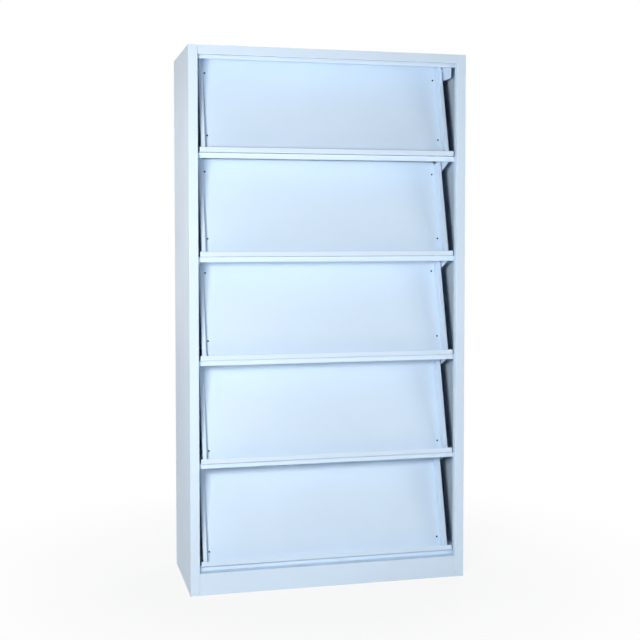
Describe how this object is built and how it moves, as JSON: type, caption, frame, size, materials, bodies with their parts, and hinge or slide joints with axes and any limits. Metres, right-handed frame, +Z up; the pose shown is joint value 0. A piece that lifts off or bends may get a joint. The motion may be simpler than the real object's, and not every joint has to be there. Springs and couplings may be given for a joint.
{
  "type": "magazine display cabinet",
  "caption": "Tall free-standing sheet-steel magazine display cabinet with sloping lipped flaps that lift to show storage bays behind.",
  "frame": {"origin": "on the floor under the middle of the cabinet", "axes": "+X to the viewer's right when facing the flaps, +Y to the rear, +Z up"},
  "size_m": [0.914, 0.38, 1.73],
  "materials": {
    "paint": "pale blue-white powder coat, satin, fine texture",
    "steel": "zinc-plated steel",
    "screw": "black zinc-plated steel",
    "nylon": "moulded natural nylon",
    "rubber": "matt black rubber"
  },
  "bodies": {
    "cabinet": {"left_side_panel": "paint", "right_side_panel": "paint", "top_panel": "paint", "head_plate": "paint", "back_panel": "paint", "plinth_front": "paint", "plinth_rear": "paint", "bottom_shelf": "paint", "shelf_1": "paint", "shelf_2": "paint", "shelf_3": "paint", "shelf_4": "paint", "shelf_ribs": "paint", "hanger_left_1": "paint", "hanger_right_1": "paint", "hanger_left_2": "paint", "hanger_right_2": "paint", "hanger_left_3": "paint", "hanger_right_3": "paint", "hanger_left_4": "paint", "hanger_right_4": "paint", "hanger_left_5": "paint", "hanger_right_5": "paint", "pivot_bushes_1": "nylon", "pivot_bushes_2": "nylon", "pivot_bushes_3": "nylon", "pivot_bushes_4": "nylon", "pivot_bushes_5": "nylon", "stop_pads": "rubber"},
    "flap_1": {"flap_panel_1": "paint", "flap_arm_left_1": "paint", "flap_arm_right_1": "paint", "flap_lip_1": "paint", "pivot_pins_1": "steel", "flap_screws_1": "screw"},
    "flap_2": {"flap_panel_2": "paint", "flap_arm_left_2": "paint", "flap_arm_right_2": "paint", "flap_lip_2": "paint", "pivot_pins_2": "steel", "flap_screws_2": "screw"},
    "flap_3": {"flap_panel_3": "paint", "flap_arm_left_3": "paint", "flap_arm_right_3": "paint", "flap_lip_3": "paint", "pivot_pins_3": "steel", "flap_screws_3": "screw"},
    "flap_4": {"flap_panel_4": "paint", "flap_arm_left_4": "paint", "flap_arm_right_4": "paint", "flap_lip_4": "paint", "pivot_pins_4": "steel", "flap_screws_4": "screw"},
    "flap_5": {"flap_panel_5": "paint", "flap_arm_left_5": "paint", "flap_arm_right_5": "paint", "flap_lip_5": "paint", "pivot_pins_5": "steel", "flap_screws_5": "screw"}
  },
  "joints": [
    {"name": "flap_1_hinge", "type": "hinge", "parent": "cabinet", "child": "flap_1", "pos_m": [0, -0.072, 1.695], "axis": [-1, 0, 0], "range_deg": [0, 65]},
    {"name": "flap_2_hinge", "type": "hinge", "parent": "cabinet", "child": "flap_2", "pos_m": [0, -0.072, 1.367], "axis": [-1, 0, 0], "range_deg": [0, 77]},
    {"name": "flap_3_hinge", "type": "hinge", "parent": "cabinet", "child": "flap_3", "pos_m": [0, -0.072, 1.039], "axis": [-1, 0, 0], "range_deg": [0, 77]},
    {"name": "flap_4_hinge", "type": "hinge", "parent": "cabinet", "child": "flap_4", "pos_m": [0, -0.072, 0.711], "axis": [-1, 0, 0], "range_deg": [0, 77]},
    {"name": "flap_5_hinge", "type": "hinge", "parent": "cabinet", "child": "flap_5", "pos_m": [0, -0.072, 0.383], "axis": [-1, 0, 0], "range_deg": [0, 77]}
  ]
}
